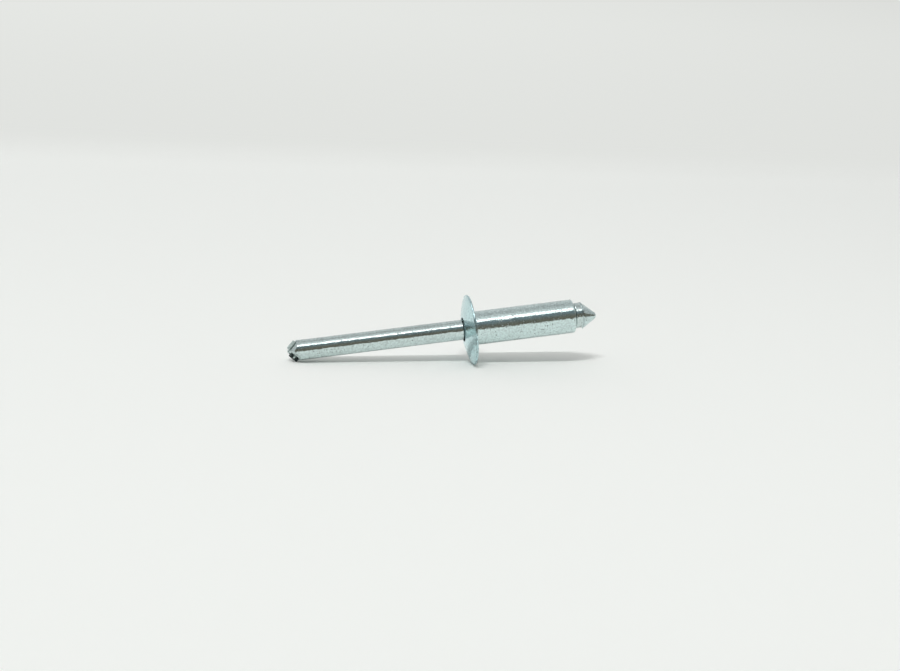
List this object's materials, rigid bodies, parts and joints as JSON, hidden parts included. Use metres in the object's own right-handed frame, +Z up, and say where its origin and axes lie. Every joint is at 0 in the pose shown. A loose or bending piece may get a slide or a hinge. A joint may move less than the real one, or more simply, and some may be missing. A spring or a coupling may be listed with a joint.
{
  "type": "blind rivet",
  "caption": "Blind rivet with a domed flange, open tubular shank and pulling mandrel, unset; lies on its side. Bright zinc-plated steel.",
  "frame": {"origin": "on the bore's axis, in the plane of the flange's seating face", "axes": "+Z up from the floor that the rivet lies on; +X level, along the rivet towards the mandrel's head; the bore's axis rises by 8.00 degrees from +X"},
  "size_m": [0.0441, 0.01, 0.0099],
  "materials": {
    "body_zinc": "bright zinc plating, clear passivated, with fine handling marks",
    "mandrel_zinc": "bright zinc plating on drawn wire, clear passivated"
  },
  "bodies": {
    "root": {"rivet_body": "body_zinc", "mandrel": "mandrel_zinc"}
  },
  "joints": []
}
